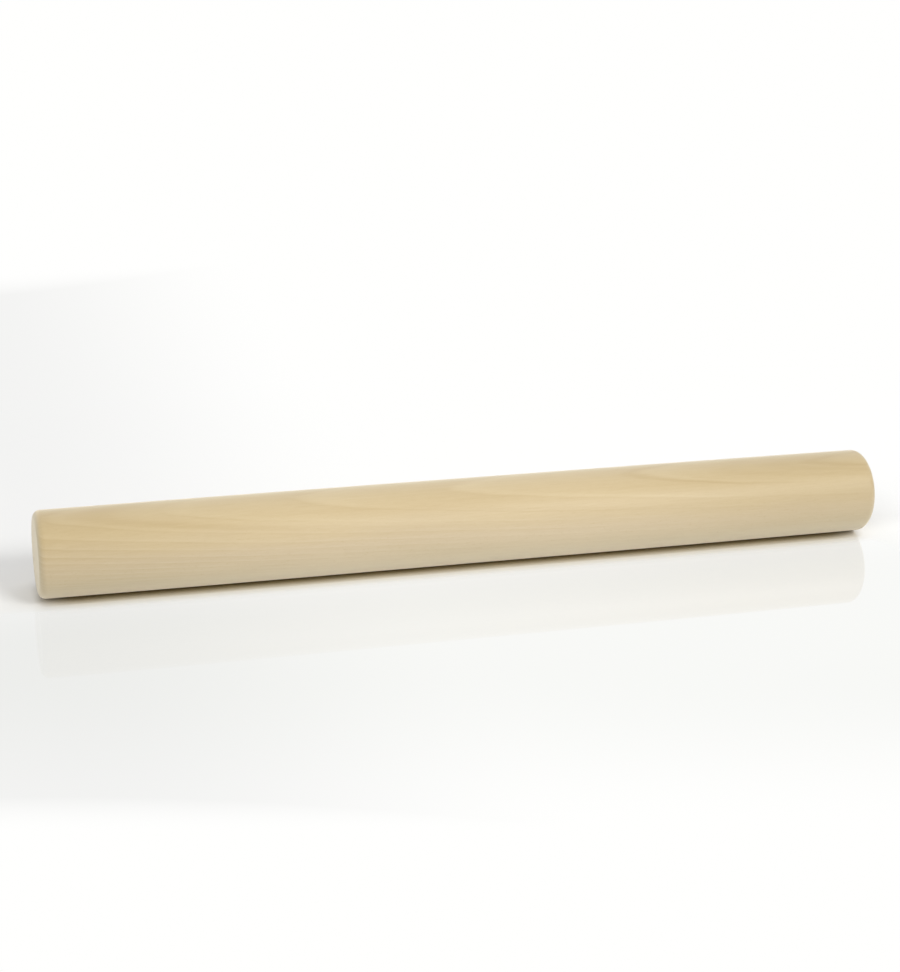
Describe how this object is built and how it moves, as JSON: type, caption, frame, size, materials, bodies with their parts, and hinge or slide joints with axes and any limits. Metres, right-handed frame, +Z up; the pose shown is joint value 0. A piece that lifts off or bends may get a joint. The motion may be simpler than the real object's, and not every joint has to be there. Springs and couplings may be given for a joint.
{
  "type": "french rolling pin",
  "caption": "Plain dowel-style wooden rolling pin with softly rounded ends, rolled directly under the palms to thin dough.",
  "frame": {"origin": "centre of the pin, on its turning axis; on a counter the surface lies 25.4 mm below it", "axes": "+X along the pin, +Z up from the counter, +Y across the pin, away from the cook"},
  "size_m": [0.508, 0.0506, 0.0508],
  "materials": {
    "pale_hardwood": "fine-sanded bare hardwood with a satin, hand-worn surface"
  },
  "bodies": {
    "root": {"dowel": "pale_hardwood"}
  },
  "joints": []
}
